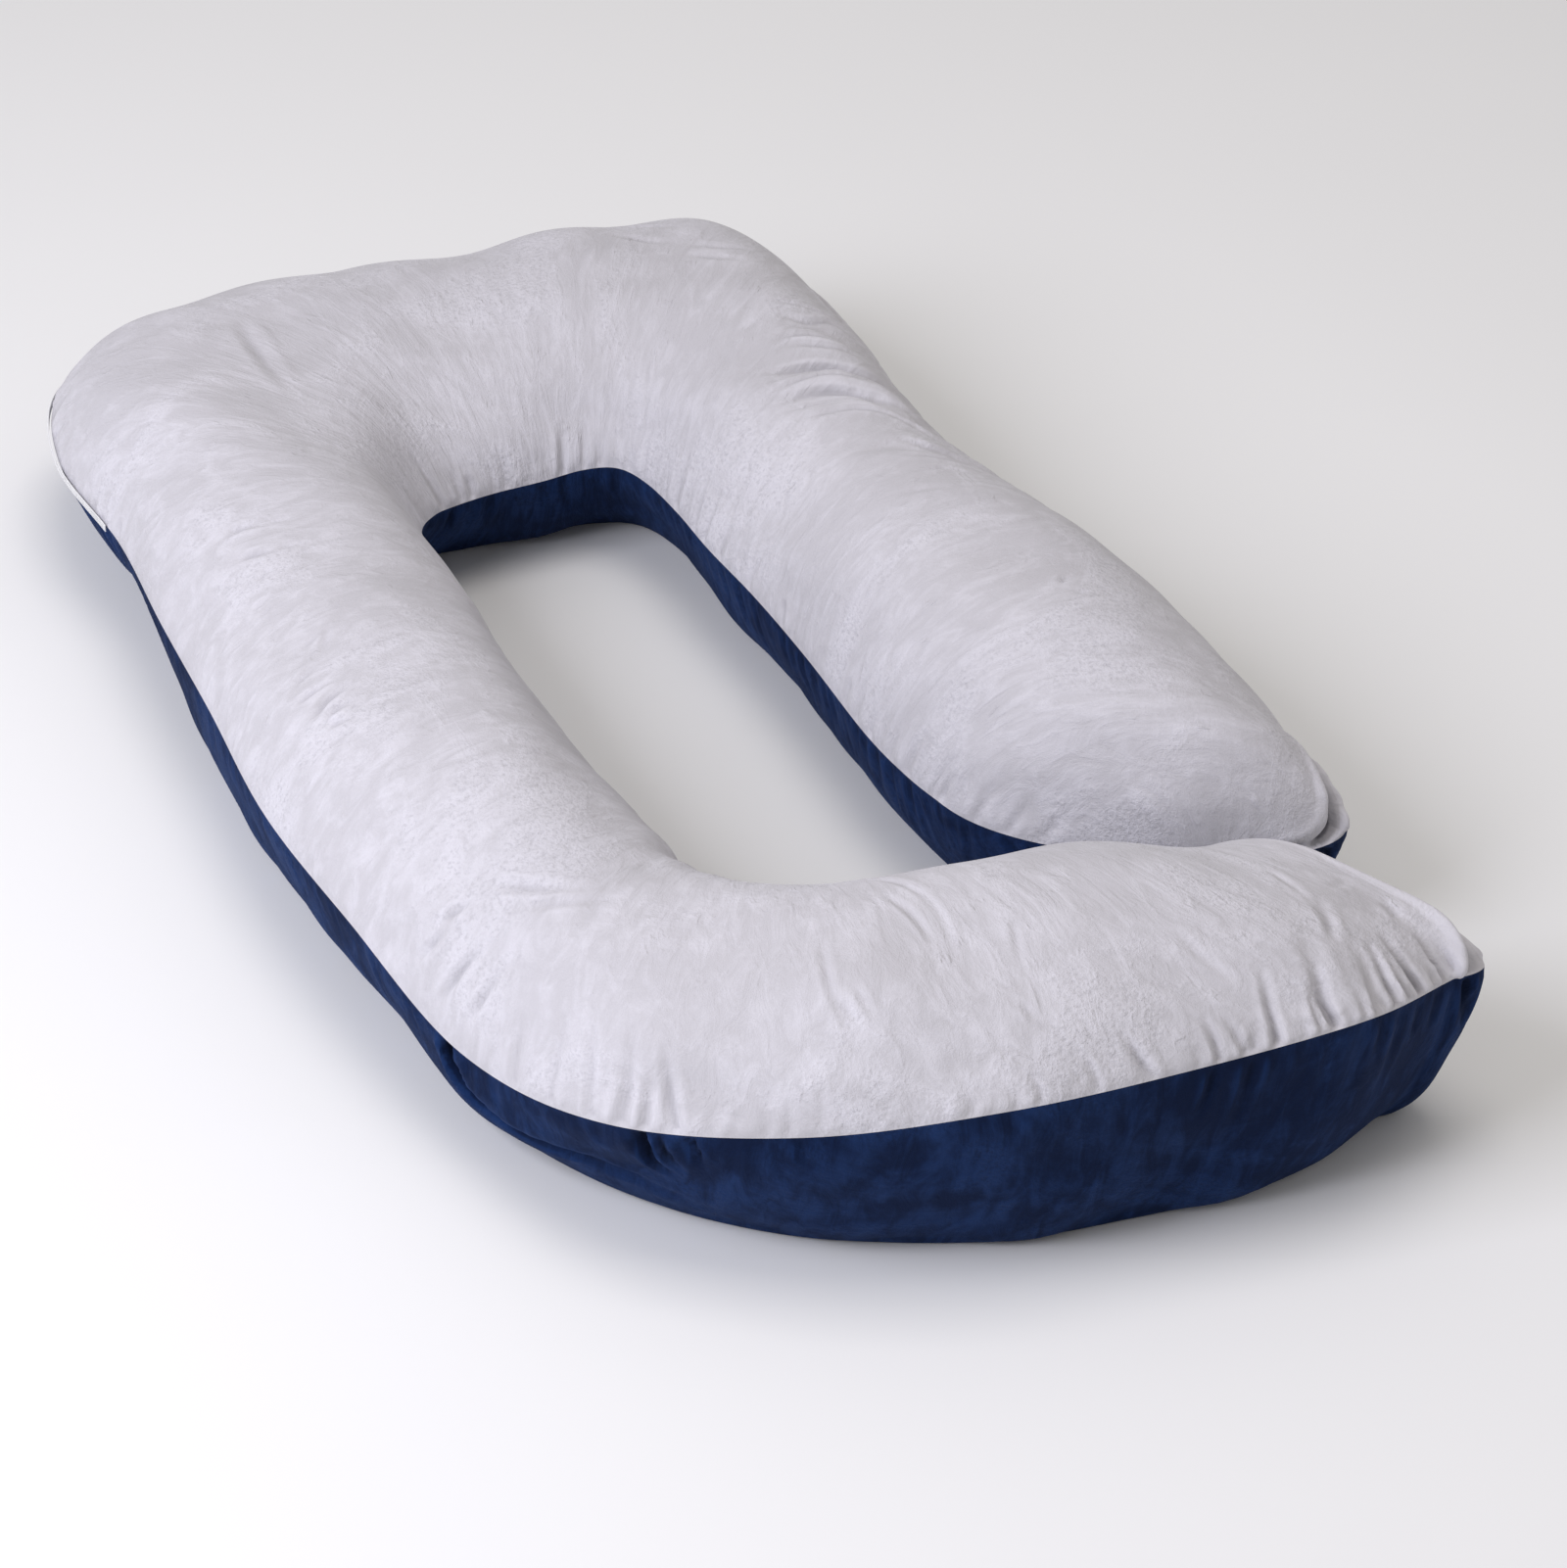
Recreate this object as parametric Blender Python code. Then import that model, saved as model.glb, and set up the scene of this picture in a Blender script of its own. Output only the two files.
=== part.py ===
"""A G-shaped pregnancy pillow: one stuffed tube that runs from the hooked foot end, up the near arm,
round the head and down the far arm. Its cover is two panels sewn along one seam, pale grey above and
navy below, with a white zip in the seam at the near head corner. Each panel is a solid with its share
of the filling. Sizes are in metres, +Z is up, and the head is towards +Y. The origin is the middle of
the footprint, on the surface that the pillow lies on."""

import math

import bpy
import numpy as np

# Clearance between neighbouring solids
GAP = 0.0003

# The tube, cut across from its outer seam to its inner seam, station by station
# name, outer x, outer y, inner x, inner y, outer seam height, inner seam height, crown height,
# fullness of the lower half
STATIONS = (
    ("hook end", 0.367, -0.604, 0.205, -0.330, 0.189, 0.125, 0.254, 0.63),
    ("hook, right", 0.248, -0.650, 0.120, -0.295, 0.217, 0.125, 0.281, 0.59),
    ("hook, middle", 0.089, -0.633, 0.030, -0.270, 0.206, 0.125, 0.290, 0.45),
    ("hook, left", -0.080, -0.606, -0.060, -0.255, 0.199, 0.125, 0.285, 0.56),
    ("foot corner, front", -0.239, -0.531, -0.110, -0.225, 0.171, 0.120, 0.275, 0.71),
    ("foot corner, middle", -0.369, -0.412, -0.140, -0.180, 0.144, 0.120, 0.265, 0.89),
    ("foot corner, back", -0.430, -0.238, -0.155, -0.125, 0.113, 0.120, 0.260, 0.70),
    ("near arm, low", -0.461, -0.040, -0.160, -0.030, 0.135, 0.120, 0.255, 0.72),
    ("near arm, middle", -0.472, 0.150, -0.160, 0.150, 0.132, 0.120, 0.250, 0.54),
    ("near arm, high", -0.462, 0.330, -0.160, 0.320, 0.134, 0.120, 0.245, 0.37),
    ("near arm, top", -0.453, 0.500, -0.160, 0.430, 0.131, 0.120, 0.245, 0.50),
    ("near head corner, low", -0.440, 0.670, -0.155, 0.510, 0.125, 0.120, 0.245, 1.20),
    ("near head corner, middle", -0.446, 0.845, -0.145, 0.560, 0.125, 0.120, 0.242, 1.20),
    ("near head corner, high", -0.392, 0.995, -0.120, 0.590, 0.120, 0.115, 0.238, 1.00),
    ("head, left", -0.250, 1.056, -0.090, 0.605, 0.115, 0.110, 0.233, 0.80),
    ("head, middle", -0.070, 1.046, -0.045, 0.610, 0.115, 0.110, 0.230, 0.70),
    ("head, right", 0.100, 1.014, 0.010, 0.610, 0.115, 0.110, 0.235, 0.70),
    ("far head corner, left", 0.250, 0.995, 0.055, 0.605, 0.115, 0.115, 0.245, 0.70),
    ("far head corner, middle", 0.365, 0.945, 0.085, 0.585, 0.120, 0.120, 0.250, 0.70),
    ("far head corner, low", 0.412, 0.830, 0.100, 0.545, 0.120, 0.120, 0.250, 0.70),
    ("far arm, top", 0.413, 0.680, 0.105, 0.480, 0.120, 0.120, 0.246, 0.70),
    ("far arm, waist", 0.410, 0.520, 0.105, 0.400, 0.120, 0.120, 0.242, 0.70),
    ("far arm, high", 0.411, 0.380, 0.110, 0.300, 0.125, 0.120, 0.245, 0.70),
    ("far arm, middle", 0.428, 0.210, 0.110, 0.180, 0.125, 0.120, 0.260, 0.65),
    ("far arm, low", 0.450, 0.030, 0.105, 0.040, 0.130, 0.120, 0.270, 0.60),
    ("far arm, foot", 0.458, -0.130, 0.110, -0.040, 0.130, 0.120, 0.267, 0.60),
    ("far arm end", 0.447, -0.255, 0.120, -0.095, 0.130, 0.120, 0.256, 0.60),
)
# The middle of the footprint, in the stations' own plan
PLAN_MIDDLE = (-0.0070, 0.2041)
# How far each end's cap reaches past its last station, and how square its outline is
HOOK_REACH = (0.086, -0.012)
FAR_REACH = (0.024, -0.112)
CAP_SQUARENESS = 2.3

# The section of the tube: the slope at which the cloth leaves the seam, how full the upper half is,
# and how far the filling sinks onto the surface under the tube's middle
SEAM_ANGLE = math.radians(18)
UPPER_FULLNESS = 0.88
SINK = 0.030

# Main folds, each a trough across the cloth from near the seam towards the crown
# name, panel, place in stations along the outer seam, width, depth, start, end, lean along the seam
FOLDS = (
    ("hook end, channel", "top_panel", 53.95, 0.030, 0.020, 0.00, 0.75, -0.12),
    ("hook end, under", "bottom_panel", 53.95, 0.028, 0.009, 0.00, 0.30, -0.04),
    ("hook, first pucker", "top_panel", 0.10, 0.030, 0.007, 0.00, 0.60, 0.00),
    ("hook, second pucker", "top_panel", 0.65, 0.030, 0.007, 0.00, 0.55, 0.01),
    ("hook, third pucker", "top_panel", 1.25, 0.030, 0.006, 0.00, 0.60, 0.00),
    ("hook, fourth pucker", "top_panel", 2.00, 0.032, 0.006, 0.00, 0.50, -0.01),
    ("hook, fifth pucker", "top_panel", 2.90, 0.032, 0.006, 0.00, 0.50, 0.00),
    ("foot corner, long crease", "bottom_panel", 6.50, 0.110, 0.013, 0.05, 0.65, -0.70),
    ("foot corner, short crease", "bottom_panel", 4.76, 0.028, 0.007, 0.00, 0.40, -0.03),
    ("foot corner, bend", "top_panel", 4.70, 0.030, 0.006, 0.05, 0.70, 0.03),
    ("waist, first fold", "top_panel", 20.10, 0.024, 0.008, 0.00, 0.90, 0.06),
    ("waist, second fold", "top_panel", 20.70, 0.024, 0.010, 0.00, 0.95, 0.05),
    ("waist, third fold", "top_panel", 21.25, 0.026, 0.010, 0.00, 0.95, 0.03),
    ("waist, fourth fold", "top_panel", 21.80, 0.024, 0.008, 0.00, 0.90, 0.00),
    ("waist, fifth fold", "top_panel", 22.40, 0.024, 0.007, 0.00, 0.80, -0.03),
    ("waist, under", "bottom_panel", 21.30, 0.030, 0.008, 0.00, 0.60, 0.00),
    ("far arm end, channel", "top_panel", 26.30, 0.034, 0.018, 0.00, 0.70, -0.13),
    ("far arm end, under", "bottom_panel", 26.30, 0.028, 0.009, 0.00, 0.30, -0.05),
)

# The zip in the seam: where it starts and ends, in stations, and its strip's height and thickness
ZIP_START = 11.2
ZIP_END = 14.2
ZIP_HEIGHT = 0.008
ZIP_THICKNESS = 0.0025

# How finely the tube is cut: samples along it, samples round each cap, rows from seam to crown
ALONG = 150
CAP_SAMPLES = 12
ROWS = 6
ZIP_SAMPLES = 40

# The cloth's colours, linear
GREY = (0.62, 0.60, 0.63)
NAVY = (0.015, 0.04, 0.15)
WHITE = (0.90, 0.90, 0.90)


def spline(values, positions):
    """A smooth curve through the rows of values (Catmull-Rom), at the given row positions."""
    before_first = 2 * values[0] - values[1]
    after_last = 2 * values[-1] - values[-2]
    padded = np.vstack([before_first, values, after_last])
    start = np.clip(np.floor(positions).astype(int), 0, len(values) - 2)
    t = (positions - start)[:, None]
    before, here, after, beyond = (padded[start + k] for k in range(4))
    return 0.5 * (
        2 * here
        + (after - before) * t
        + (2 * before - 5 * here + 4 * after - beyond) * t**2
        + (3 * here - before - 3 * after + beyond) * t**3
    )


def station_rows():
    """The stations' numbers, with the plan moved so that the footprint's middle is at the origin."""
    rows = np.array([row[1:] for row in STATIONS])
    rows[:, 0:4] -= PLAN_MIDDLE * 2
    return rows


def even_positions(values, count):
    """Row positions that cut the spline through values into even lengths."""
    fine = np.linspace(0, len(values) - 1, 2000)
    points = spline(values, fine)
    steps = np.linalg.norm(np.diff(points, axis=0), axis=1)
    length = np.concatenate([[0], np.cumsum(steps)])
    return np.interp(np.linspace(0, length[-1], count), length, fine)


def cap(first, last, middle, reach):
    """Seam points round an end, from first to last, without those two: half a superellipse."""
    angle = np.linspace(0, math.pi, CAP_SAMPLES + 2)[1:-1, None]
    power = 2 / CAP_SQUARENESS
    across = np.abs(np.cos(angle)) ** power
    towards = np.where(angle < math.pi / 2, (first - middle)[:2], (last - middle)[:2])
    plan = middle[:2] + across * towards + np.sin(angle) ** power * np.array(reach)
    height = first[2] + (last[2] - first[2]) * (1 - np.cos(angle)) / 2
    return np.hstack([plan, height])


def cut_of_loop():
    """For each point of the seam loop, the number of the cut whose crown it leads up to."""
    return np.concatenate([
        np.arange(ALONG),
        np.full(CAP_SAMPLES, ALONG - 1),
        np.arange(ALONG)[::-1],
        np.zeros(CAP_SAMPLES, int),
    ])


def seam_and_crown():
    """The closed seam loop, and for each of its points the crown point, the place in stations
    and the fullness of the lower half."""
    rows = station_rows()
    positions = even_positions((rows[:, 0:2] + rows[:, 2:4]) / 2, ALONG)
    cut = spline(rows, positions)
    outer, inner = cut[:, [0, 1, 4]], cut[:, [2, 3, 5]]
    crown = np.hstack([(cut[:, 0:2] + cut[:, 2:4]) / 2, cut[:, 6:7]])
    of_loop = cut_of_loop()
    seam = np.vstack([
        outer,
        cap(outer[-1], inner[-1], crown[-1], FAR_REACH),
        inner[::-1],
        cap(inner[0], outer[0], crown[0], HOOK_REACH),
    ])
    last = len(STATIONS) - 1
    round_cap = np.linspace(0, 1, CAP_SAMPLES + 2)[1:-1]
    place = np.concatenate([positions, last + round_cap, 2 * last + 1 - positions[::-1], 2 * last + 1 + round_cap])
    return seam, crown[of_loop], place, cut[of_loop, 7:8]


def profile(row, fullness):
    """How far in from the seam and how far away from it in height a row lies, each from 0 to 1."""
    angle = SEAM_ANGLE + (math.pi / 2 - SEAM_ANGLE) * row / ROWS
    inwards = 1 - max(math.cos(angle) / math.cos(SEAM_ANGLE), 0) ** fullness
    upwards = (math.sin(angle) - math.sin(SEAM_ANGLE)) / (1 - math.sin(SEAM_ANGLE))
    return inwards, upwards


def fold_depth(name, seam, place, share):
    """How deep the folds of the named panel are round the loop, a share of the way from seam to crown."""
    steps = np.linalg.norm(np.diff(seam[:, :2], axis=0, append=seam[:1, :2]), axis=1)
    length = np.concatenate([[0], np.cumsum(steps)])
    total = length[-1]
    depth = np.zeros(len(seam))
    for _, panel, where, width, deepest, start, end, lean in FOLDS:
        if panel != name or not start < share < end:
            continue
        middle = np.interp(where, place, length[:-1]) + lean * share
        away = np.abs((length[:-1] - middle + total / 2) % total - total / 2)
        along_fold = math.sin(math.pi * (share - start) / (end - start)) ** 0.6
        depth += deepest * along_fold * np.exp(-((away / width) ** 2))
    return depth


def panel_points(name, upper):
    """The cloth's points, row by row from the seam to the crown."""
    seam, top, place, lower_fullness = seam_and_crown()
    axis = top * [1, 1, 0] + seam * [0, 0, 1]
    rows = []
    for row in range(ROWS + 1):
        inwards, upwards = profile(row, UPPER_FULLNESS if upper else lower_fullness)
        points = seam + (top - seam) * [1, 1, 0] * inwards
        if upper:
            points[:, 2] = seam[:, 2] + (top[:, 2] - seam[:, 2]) * upwards
        else:
            points[:, 2] = seam[:, 2] - (seam[:, 2] + SINK) * upwards
        to_axis = axis - points
        distance = np.linalg.norm(to_axis, axis=1, keepdims=True)
        depth = fold_depth(name, seam, place, row / ROWS)[:, None]
        points = points + to_axis / np.maximum(distance, GAP) * depth
        if not upper:
            points[:, 2] = np.maximum(points[:, 2], GAP / 2)
        rows.append(points)
    lift = GAP / 2 if upper else -GAP / 2
    return np.vstack(rows) + [0, 0, lift]


def cloth_faces():
    """Faces between the rows, from the seam up to the crown, which both sides of a cut share."""
    around = 2 * (ALONG + CAP_SAMPLES)
    crown_of = ROWS * around + cut_of_loop()
    faces = []
    for row in range(ROWS):
        for k in range(around):
            after = (k + 1) % around
            if row + 1 < ROWS:
                above = [(row + 1) * around + after, (row + 1) * around + k]
            else:
                above = [crown_of[after], crown_of[k]]
            corners = [row * around + k, row * around + after, *above]
            faces.append(list(dict.fromkeys(corners)))
    return faces


def seam_faces():
    """Triangles across the tube at the level of the seam, which close a panel's share of the filling."""
    around = 2 * (ALONG + CAP_SAMPLES)
    inner_of = 2 * ALONG + CAP_SAMPLES - 1 - np.arange(ALONG)
    faces = []
    for k in range(ALONG - 1):
        faces.append([k + 1, k, inner_of[k]])
        faces.append([k + 1, inner_of[k], inner_of[k + 1]])
    for k in range(ALONG, ALONG + CAP_SAMPLES):
        faces.append([k + 1, k, ALONG - 1])
    for k in range(around - CAP_SAMPLES, around):
        faces.append([(k + 1) % around, k, around - CAP_SAMPLES - 1])
    return faces


def add_object(name, points, faces, colour, roughness):
    """An object with its own material, of those points that its faces use."""
    used = sorted({int(corner) for face in faces for corner in face})
    number = {old: new for new, old in enumerate(used)}
    mesh = bpy.data.meshes.new(name)
    mesh.from_pydata(
        [tuple(points[old]) for old in used],
        [],
        [[number[int(corner)] for corner in face] for face in faces],
    )
    mesh.shade_smooth()
    material = bpy.data.materials.new(name)
    material.use_nodes = True
    shader = material.node_tree.nodes["Principled BSDF"]
    shader.inputs["Base Color"].default_value = (*colour, 1)
    shader.inputs["Roughness"].default_value = roughness
    mesh.materials.append(material)
    obj = bpy.data.objects.new(name, mesh)
    bpy.context.scene.collection.objects.link(obj)
    return obj


def make_panel(name, upper, colour):
    """One panel of the cover with its share of the filling."""
    faces = cloth_faces() + seam_faces()
    if upper:
        faces = [face[::-1] for face in faces]
    return add_object(name, panel_points(name, upper), faces, colour, 0.8)


def make_zip():
    """The closed zip's strip, standing in the outer seam, from below the near head corner to the head."""
    rows = station_rows()
    cut = spline(rows, np.linspace(ZIP_START, ZIP_END, ZIP_SAMPLES))
    seam = cut[:, [0, 1, 4]]
    along = np.gradient(seam[:, :2], axis=0)
    along /= np.linalg.norm(along, axis=1, keepdims=True)
    outwards = np.hstack([-along[:, 1:2], along[:, 0:1], np.zeros((ZIP_SAMPLES, 1))])
    near, far = outwards * GAP * 2, outwards * (GAP * 2 + ZIP_THICKNESS)
    rise = np.array([0, 0, ZIP_HEIGHT / 2])
    corners = [seam + near - rise, seam + far - rise, seam + far + rise, seam + near + rise]
    points = np.vstack(corners)
    faces = []
    for side in range(4):
        for k in range(ZIP_SAMPLES - 1):
            low, high = side * ZIP_SAMPLES + k, (side + 1) % 4 * ZIP_SAMPLES + k
            faces.append([high, high + 1, low + 1, low])
    first = [side * ZIP_SAMPLES for side in range(4)]
    last = [side * ZIP_SAMPLES + ZIP_SAMPLES - 1 for side in range(4)]
    faces += [first[::-1], last]
    return add_object("zip", points, faces, WHITE, 0.5)


def main():
    for obj in list(bpy.data.objects):
        bpy.data.objects.remove(obj)
    make_panel("top_panel", True, GREY)
    make_panel("bottom_panel", False, NAVY)
    make_zip()


main()
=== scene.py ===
"""A G-shaped pregnancy pillow in silver grey and navy plush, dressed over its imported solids."""

import math

import bpy
import bmesh
import numpy as np
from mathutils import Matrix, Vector


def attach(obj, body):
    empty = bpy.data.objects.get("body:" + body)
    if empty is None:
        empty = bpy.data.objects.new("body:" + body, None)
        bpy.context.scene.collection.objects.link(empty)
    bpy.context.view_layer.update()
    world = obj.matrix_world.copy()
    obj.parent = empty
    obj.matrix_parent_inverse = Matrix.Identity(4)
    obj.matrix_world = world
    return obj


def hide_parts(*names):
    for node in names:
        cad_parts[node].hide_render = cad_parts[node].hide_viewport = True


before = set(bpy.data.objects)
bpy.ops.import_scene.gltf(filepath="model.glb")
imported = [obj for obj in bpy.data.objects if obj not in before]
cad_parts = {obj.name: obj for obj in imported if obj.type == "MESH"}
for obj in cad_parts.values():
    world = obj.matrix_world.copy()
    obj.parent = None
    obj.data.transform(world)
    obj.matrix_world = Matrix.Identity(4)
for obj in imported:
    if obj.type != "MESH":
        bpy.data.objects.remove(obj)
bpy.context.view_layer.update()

# Clearance between neighbouring pieces, as between the solids
GAP = 0.0003

# The tube, cut across from its outer seam to its inner seam, station by station, as in the solids
# name, outer x, outer y, inner x, inner y, outer seam height, inner seam height, crown height,
# fullness of the lower half
STATIONS = (
    ("hook end", 0.367, -0.604, 0.205, -0.330, 0.189, 0.125, 0.254, 0.63),
    ("hook, right", 0.248, -0.650, 0.120, -0.295, 0.217, 0.125, 0.281, 0.59),
    ("hook, middle", 0.089, -0.633, 0.030, -0.270, 0.206, 0.125, 0.290, 0.45),
    ("hook, left", -0.080, -0.606, -0.060, -0.255, 0.199, 0.125, 0.285, 0.56),
    ("foot corner, front", -0.239, -0.531, -0.110, -0.225, 0.171, 0.120, 0.275, 0.71),
    ("foot corner, middle", -0.369, -0.412, -0.140, -0.180, 0.144, 0.120, 0.265, 0.89),
    ("foot corner, back", -0.430, -0.238, -0.155, -0.125, 0.113, 0.120, 0.260, 0.70),
    ("near arm, low", -0.461, -0.040, -0.160, -0.030, 0.135, 0.120, 0.255, 0.72),
    ("near arm, middle", -0.472, 0.150, -0.160, 0.150, 0.132, 0.120, 0.250, 0.54),
    ("near arm, high", -0.462, 0.330, -0.160, 0.320, 0.134, 0.120, 0.245, 0.37),
    ("near arm, top", -0.453, 0.500, -0.160, 0.430, 0.131, 0.120, 0.245, 0.50),
    ("near head corner, low", -0.440, 0.670, -0.155, 0.510, 0.125, 0.120, 0.245, 1.20),
    ("near head corner, middle", -0.446, 0.845, -0.145, 0.560, 0.125, 0.120, 0.242, 1.20),
    ("near head corner, high", -0.392, 0.995, -0.120, 0.590, 0.120, 0.115, 0.238, 1.00),
    ("head, left", -0.250, 1.056, -0.090, 0.605, 0.115, 0.110, 0.233, 0.80),
    ("head, middle", -0.070, 1.046, -0.045, 0.610, 0.115, 0.110, 0.230, 0.70),
    ("head, right", 0.100, 1.014, 0.010, 0.610, 0.115, 0.110, 0.235, 0.70),
    ("far head corner, left", 0.250, 0.995, 0.055, 0.605, 0.115, 0.115, 0.245, 0.70),
    ("far head corner, middle", 0.365, 0.945, 0.085, 0.585, 0.120, 0.120, 0.250, 0.70),
    ("far head corner, low", 0.412, 0.830, 0.100, 0.545, 0.120, 0.120, 0.250, 0.70),
    ("far arm, top", 0.413, 0.680, 0.105, 0.480, 0.120, 0.120, 0.246, 0.70),
    ("far arm, waist", 0.410, 0.520, 0.105, 0.400, 0.120, 0.120, 0.242, 0.70),
    ("far arm, high", 0.411, 0.380, 0.110, 0.300, 0.125, 0.120, 0.245, 0.70),
    ("far arm, middle", 0.428, 0.210, 0.110, 0.180, 0.125, 0.120, 0.260, 0.65),
    ("far arm, low", 0.450, 0.030, 0.105, 0.040, 0.130, 0.120, 0.270, 0.60),
    ("far arm, foot", 0.458, -0.130, 0.110, -0.040, 0.130, 0.120, 0.267, 0.60),
    ("far arm end", 0.447, -0.255, 0.120, -0.095, 0.130, 0.120, 0.256, 0.60),
)
LAST = len(STATIONS) - 1
PLAN_MIDDLE = (-0.0070, 0.2041)
HOOK_REACH = (0.086, -0.012)
FAR_REACH = (0.024, -0.112)
CAP_SQUARENESS = 2.3
SEAM_ANGLE = math.radians(18)
UPPER_FULLNESS = 0.88
SINK = 0.030

# How far the stitches draw the seam in, and the cloth's width from the seam to the crown
SEAM_TUCK = 0.002
HALF_WIDTH = 0.22

# How finely the cloth is cut while it fills: cuts along the tube, chords in each end and how far into
# it the last one lies, rows from seam to crown, and the steps in which the tube is measured
CUTS = 500
CHORDS = 28
ROWS = 21
END_TIP = 0.9965
FINE_STEPS = 4000

# How finely each finished panel is cut, along the tube and across it
FINISHED = {"top_panel": (1500, 131), "bottom_panel": (1150, 111)}

# Folds that are in the cloth before it is filled
# name, panel, width, depth, way: places along the tube by station (its ends reach to -1 and 27)
# with places across it (-1 at the outer seam, 0 at the crown, 1 at the inner seam)
FOLDS = (
    ("hook end, strip behind the groove", "top_panel", 0.018, 0.004,
        ((-0.46, -1.0), (-0.58, -0.84), (-0.70, -0.60), (-0.74, -0.34), (-0.70, 0.0))),
    ("far arm end, strip behind the groove", "top_panel", 0.014, 0.003,
        ((26.97, -1.0), (26.84, -0.93), (26.66, -0.84), (26.44, -0.76))),
    ("foot corner, long crease", "bottom_panel", 0.009, 0.007,
        ((6.10, -0.94), (6.02, -0.82), (5.73, -0.76), (5.28, -0.71), (4.71, -0.62), (4.40, -0.54))),
    ("foot corner, first navy fold", "bottom_panel", 0.008, 0.009,
        ((4.79, -1.0), (4.78, -0.90), (4.72, -0.79))),
    ("foot corner, second navy fold", "bottom_panel", 0.007, 0.006,
        ((4.54, -1.0), (4.54, -0.93), (4.49, -0.84))),
    ("foot corner, bend", "top_panel", 0.016, 0.005, ((5.9, 0.9), (5.6, 0.5), (5.5, 0.1))),
    ("foot corner, second bend", "top_panel", 0.014, 0.005, ((5.1, 0.95), (5.1, 0.6), (5.2, 0.3))),
    ("waist, first hollow", "top_panel", 0.014, 0.006,
        ((19.98, -0.05), (20.30, -0.24), (20.62, -0.45), (20.75, -0.8))),
    ("waist, second hollow", "top_panel", 0.015, 0.009,
        ((20.45, 0.12), (20.80, -0.16), (21.10, -0.38), (21.3, -0.9))),
    ("waist, third hollow", "top_panel", 0.015, 0.009,
        ((20.90, 0.20), (21.23, -0.14), (21.73, -0.38), (21.9, -0.9))),
    ("waist, fourth hollow", "top_panel", 0.012, 0.006,
        ((22.0, 0.1), (22.3, -0.19), (22.44, -0.43), (22.5, -0.8))),
    ("waist, under", "bottom_panel", 0.012, 0.007, ((21.3, -1.0), (21.35, -0.7), (21.3, -0.4))),
    ("hook, long pucker", "top_panel", 0.009, 0.006,
        ((1.20, -1.0), (1.21, -0.86), (1.10, -0.60), (0.9, -0.34))),
    ("hook, pucker by the end", "top_panel", 0.009, 0.006, ((0.08, -1.0), (0.08, -0.81), (-0.04, -0.50))),
    ("hook, second pucker by the end", "top_panel", 0.008, 0.006,
        ((0.45, -1.0), (0.43, -0.81), (0.32, -0.52))),
    ("hook, third pucker by the end", "top_panel", 0.008, 0.006,
        ((0.85, -1.0), (0.82, -0.84), (0.64, -0.50))),
)

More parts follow.
